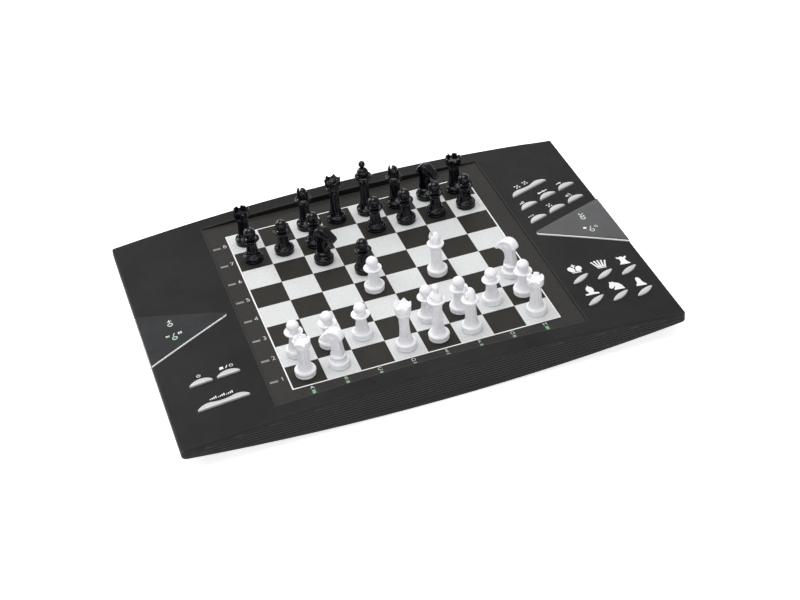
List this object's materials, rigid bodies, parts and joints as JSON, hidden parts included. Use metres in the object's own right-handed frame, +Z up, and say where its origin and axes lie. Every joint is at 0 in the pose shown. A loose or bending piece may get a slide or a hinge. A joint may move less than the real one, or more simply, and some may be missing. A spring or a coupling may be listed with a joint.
{
  "type": "electronic chess computer",
  "caption": "Low lens-shaped electronic chess computer with a sunken sensor board, curved keys, triangular indicator windows and a full set of turned chessmen.",
  "frame": {"origin": "middle of the body in plan, on the surface that the feet stand on", "axes": "+X to the player's right along the files a to h, +Y away from the player towards the black side, +Z up"},
  "size_m": [0.376, 0.26, 0.0719],
  "materials": {
    "housing_plastic": "finely textured",
    "printed_board": "printed squares on textured film",
    "smoked_window": "smoked clear plastic, smooth",
    "lamp_plastic": "translucent",
    "circuit_board": "solder mask",
    "cell_jacket": "printed sleeve",
    "plated_steel": "nickel plated",
    "foot_rubber": "matt",
    "key_plastic": "satin",
    "white_chessman": "glossy",
    "black_chessman": "glossy"
  },
  "bodies": {
    "console": {"top_housing": "housing_plastic", "bottom_housing": "housing_plastic", "board_panel": "printed_board", "indicator_windows": "smoked_window", "indicator_lamps": "lamp_plastic", "main_circuit_board": "circuit_board", "wing_circuit_boards": "circuit_board", "battery_cells": "cell_jacket", "battery_contacts": "plated_steel", "housing_screws": "plated_steel", "rubber_feet": "foot_rubber"},
    "battery_door": {"battery_door": "housing_plastic"},
    "on_key": {"on_key": "key_plastic"},
    "save_off_key": {"save_off_key": "key_plastic"},
    "training_key": {"training_key": "key_plastic"},
    "new_game_key": {"new_game_key": "key_plastic"},
    "level_key": {"level_key": "key_plastic"},
    "take_back_key": {"take_back_key": "key_plastic"},
    "move_key": {"move_key": "key_plastic"},
    "hint_key": {"hint_key": "key_plastic"},
    "set_up_key": {"set_up_key": "key_plastic"},
    "sound_key": {"sound_key": "key_plastic"},
    "king_key": {"king_key": "key_plastic"},
    "queen_key": {"queen_key": "key_plastic"},
    "rook_key": {"rook_key": "key_plastic"},
    "bishop_key": {"bishop_key": "key_plastic"},
    "knight_key": {"knight_key": "key_plastic"},
    "pawn_key": {"pawn_key": "key_plastic"},
    "white_king": {"white_king": "white_chessman"},
    "white_queen": {"white_queen": "white_chessman"},
    "white_rook_a": {"white_rook_a": "white_chessman"},
    "white_rook_h": {"white_rook_h": "white_chessman"},
    "white_knight_b": {"white_knight_b": "white_chessman"},
    "white_knight_g": {"white_knight_g": "white_chessman"},
    "white_bishop_c": {"white_bishop_c": "white_chessman"},
    "white_bishop_f": {"white_bishop_f": "white_chessman"},
    "white_pawn_a": {"white_pawn_a": "white_chessman"},
    "white_pawn_b": {"white_pawn_b": "white_chessman"},
    "white_pawn_c": {"white_pawn_c": "white_chessman"},
    "white_pawn_d": {"white_pawn_d": "white_chessman"},
    "white_pawn_e": {"white_pawn_e": "white_chessman"},
    "white_pawn_f": {"white_pawn_f": "white_chessman"},
    "white_pawn_g": {"white_pawn_g": "white_chessman"},
    "white_pawn_h": {"white_pawn_h": "white_chessman"},
    "black_king": {"black_king": "black_chessman"},
    "black_queen": {"black_queen": "black_chessman"},
    "black_rook_a": {"black_rook_a": "black_chessman"},
    "black_rook_h": {"black_rook_h": "black_chessman"},
    "black_knight_b": {"black_knight_b": "black_chessman"},
    "black_knight_g": {"black_knight_g": "black_chessman"},
    "black_bishop_c": {"black_bishop_c": "black_chessman"},
    "black_bishop_f": {"black_bishop_f": "black_chessman"},
    "black_pawn_a": {"black_pawn_a": "black_chessman"},
    "black_pawn_b": {"black_pawn_b": "black_chessman"},
    "black_pawn_c": {"black_pawn_c": "black_chessman"},
    "black_pawn_d": {"black_pawn_d": "black_chessman"},
    "black_pawn_e": {"black_pawn_e": "black_chessman"},
    "black_pawn_f": {"black_pawn_f": "black_chessman"},
    "black_pawn_g": {"black_pawn_g": "black_chessman"},
    "black_pawn_h": {"black_pawn_h": "black_chessman"}
  },
  "joints": [
    {"name": "battery_door_slide", "type": "slide", "parent": "console", "child": "battery_door", "axis": [0, 1, 0], "range_m": [0, 0.045]},
    {"name": "on_key_press", "type": "slide", "parent": "console", "child": "on_key", "axis": [0, 0, -1], "range_m": [0, 0.0008], "stiffness_N_per_m": 600},
    {"name": "save_off_key_press", "type": "slide", "parent": "console", "child": "save_off_key", "axis": [0, 0, -1], "range_m": [0, 0.0008], "stiffness_N_per_m": 600},
    {"name": "training_key_press", "type": "slide", "parent": "console", "child": "training_key", "axis": [0, 0, -1], "range_m": [0, 0.0008], "stiffness_N_per_m": 600},
    {"name": "new_game_key_press", "type": "slide", "parent": "console", "child": "new_game_key", "axis": [0, 0, -1], "range_m": [0, 0.0008], "stiffness_N_per_m": 600},
    {"name": "level_key_press", "type": "slide", "parent": "console", "child": "level_key", "axis": [0, 0, -1], "range_m": [0, 0.0008], "stiffness_N_per_m": 600},
    {"name": "take_back_key_press", "type": "slide", "parent": "console", "child": "take_back_key", "axis": [0, 0, -1], "range_m": [0, 0.0008], "stiffness_N_per_m": 600},
    {"name": "move_key_press", "type": "slide", "parent": "console", "child": "move_key", "axis": [0, 0, -1], "range_m": [0, 0.0008], "stiffness_N_per_m": 600},
    {"name": "hint_key_press", "type": "slide", "parent": "console", "child": "hint_key", "axis": [0, 0, -1], "range_m": [0, 0.0008], "stiffness_N_per_m": 600},
    {"name": "set_up_key_press", "type": "slide", "parent": "console", "child": "set_up_key", "axis": [0, 0, -1], "range_m": [0, 0.0008], "stiffness_N_per_m": 600},
    {"name": "sound_key_press", "type": "slide", "parent": "console", "child": "sound_key", "axis": [0, 0, -1], "range_m": [0, 0.0008], "stiffness_N_per_m": 600},
    {"name": "king_key_press", "type": "slide", "parent": "console", "child": "king_key", "axis": [0, 0, -1], "range_m": [0, 0.0008], "stiffness_N_per_m": 600},
    {"name": "queen_key_press", "type": "slide", "parent": "console", "child": "queen_key", "axis": [0, 0, -1], "range_m": [0, 0.0008], "stiffness_N_per_m": 600},
    {"name": "rook_key_press", "type": "slide", "parent": "console", "child": "rook_key", "axis": [0, 0, -1], "range_m": [0, 0.0008], "stiffness_N_per_m": 600},
    {"name": "bishop_key_press", "type": "slide", "parent": "console", "child": "bishop_key", "axis": [0, 0, -1], "range_m": [0, 0.0008], "stiffness_N_per_m": 600},
    {"name": "knight_key_press", "type": "slide", "parent": "console", "child": "knight_key", "axis": [0, 0, -1], "range_m": [0, 0.0008], "stiffness_N_per_m": 600},
    {"name": "pawn_key_press", "type": "slide", "parent": "console", "child": "pawn_key", "axis": [0, 0, -1], "range_m": [0, 0.0008], "stiffness_N_per_m": 600},
    {"name": "white_king_lift", "type": "slide", "parent": "console", "child": "white_king", "axis": [0, 0, 1], "range_m": [0, 0.06]},
    {"name": "white_queen_lift", "type": "slide", "parent": "console", "child": "white_queen", "axis": [0, 0, 1], "range_m": [0, 0.06]},
    {"name": "white_rook_a_lift", "type": "slide", "parent": "console", "child": "white_rook_a", "axis": [0, 0, 1], "range_m": [0, 0.06]},
    {"name": "white_rook_h_lift", "type": "slide", "parent": "console", "child": "white_rook_h", "axis": [0, 0, 1], "range_m": [0, 0.06]},
    {"name": "white_knight_b_lift", "type": "slide", "parent": "console", "child": "white_knight_b", "axis": [0, 0, 1], "range_m": [0, 0.06]},
    {"name": "white_knight_g_lift", "type": "slide", "parent": "console", "child": "white_knight_g", "axis": [0, 0, 1], "range_m": [0, 0.06]},
    {"name": "white_bishop_c_lift", "type": "slide", "parent": "console", "child": "white_bishop_c", "axis": [0, 0, 1], "range_m": [0, 0.06]},
    {"name": "white_bishop_f_lift", "type": "slide", "parent": "console", "child": "white_bishop_f", "axis": [0, 0, 1], "range_m": [0, 0.06]},
    {"name": "white_pawn_a_lift", "type": "slide", "parent": "console", "child": "white_pawn_a", "axis": [0, 0, 1], "range_m": [0, 0.06]},
    {"name": "white_pawn_b_lift", "type": "slide", "parent": "console", "child": "white_pawn_b", "axis": [0, 0, 1], "range_m": [0, 0.06]},
    {"name": "white_pawn_c_lift", "type": "slide", "parent": "console", "child": "white_pawn_c", "axis": [0, 0, 1], "range_m": [0, 0.06]},
    {"name": "white_pawn_d_lift", "type": "slide", "parent": "console", "child": "white_pawn_d", "axis": [0, 0, 1], "range_m": [0, 0.06]},
    {"name": "white_pawn_e_lift", "type": "slide", "parent": "console", "child": "white_pawn_e", "axis": [0, 0, 1], "range_m": [0, 0.06]},
    {"name": "white_pawn_f_lift", "type": "slide", "parent": "console", "child": "white_pawn_f", "axis": [0, 0, 1], "range_m": [0, 0.06]},
    {"name": "white_pawn_g_lift", "type": "slide", "parent": "console", "child": "white_pawn_g", "axis": [0, 0, 1], "range_m": [0, 0.06]},
    {"name": "white_pawn_h_lift", "type": "slide", "parent": "console", "child": "white_pawn_h", "axis": [0, 0, 1], "range_m": [0, 0.06]},
    {"name": "black_king_lift", "type": "slide", "parent": "console", "child": "black_king", "axis": [0, 0, 1], "range_m": [0, 0.06]},
    {"name": "black_queen_lift", "type": "slide", "parent": "console", "child": "black_queen", "axis": [0, 0, 1], "range_m": [0, 0.06]},
    {"name": "black_rook_a_lift", "type": "slide", "parent": "console", "child": "black_rook_a", "axis": [0, 0, 1], "range_m": [0, 0.06]},
    {"name": "black_rook_h_lift", "type": "slide", "parent": "console", "child": "black_rook_h", "axis": [0, 0, 1], "range_m": [0, 0.06]},
    {"name": "black_knight_b_lift", "type": "slide", "parent": "console", "child": "black_knight_b", "axis": [0, 0, 1], "range_m": [0, 0.06]},
    {"name": "black_knight_g_lift", "type": "slide", "parent": "console", "child": "black_knight_g", "axis": [0, 0, 1], "range_m": [0, 0.06]},
    {"name": "black_bishop_c_lift", "type": "slide", "parent": "console", "child": "black_bishop_c", "axis": [0, 0, 1], "range_m": [0, 0.06]},
    {"name": "black_bishop_f_lift", "type": "slide", "parent": "console", "child": "black_bishop_f", "axis": [0, 0, 1], "range_m": [0, 0.06]},
    {"name": "black_pawn_a_lift", "type": "slide", "parent": "console", "child": "black_pawn_a", "axis": [0, 0, 1], "range_m": [0, 0.06]},
    {"name": "black_pawn_b_lift", "type": "slide", "parent": "console", "child": "black_pawn_b", "axis": [0, 0, 1], "range_m": [0, 0.06]},
    {"name": "black_pawn_c_lift", "type": "slide", "parent": "console", "child": "black_pawn_c", "axis": [0, 0, 1], "range_m": [0, 0.06]},
    {"name": "black_pawn_d_lift", "type": "slide", "parent": "console", "child": "black_pawn_d", "axis": [0, 0, 1], "range_m": [0, 0.06]},
    {"name": "black_pawn_e_lift", "type": "slide", "parent": "console", "child": "black_pawn_e", "axis": [0, 0, 1], "range_m": [0, 0.06]},
    {"name": "black_pawn_f_lift", "type": "slide", "parent": "console", "child": "black_pawn_f", "axis": [0, 0, 1], "range_m": [0, 0.06]},
    {"name": "black_pawn_g_lift", "type": "slide", "parent": "console", "child": "black_pawn_g", "axis": [0, 0, 1], "range_m": [0, 0.06]},
    {"name": "black_pawn_h_lift", "type": "slide", "parent": "console", "child": "black_pawn_h", "axis": [0, 0, 1], "range_m": [0, 0.06]}
  ]
}
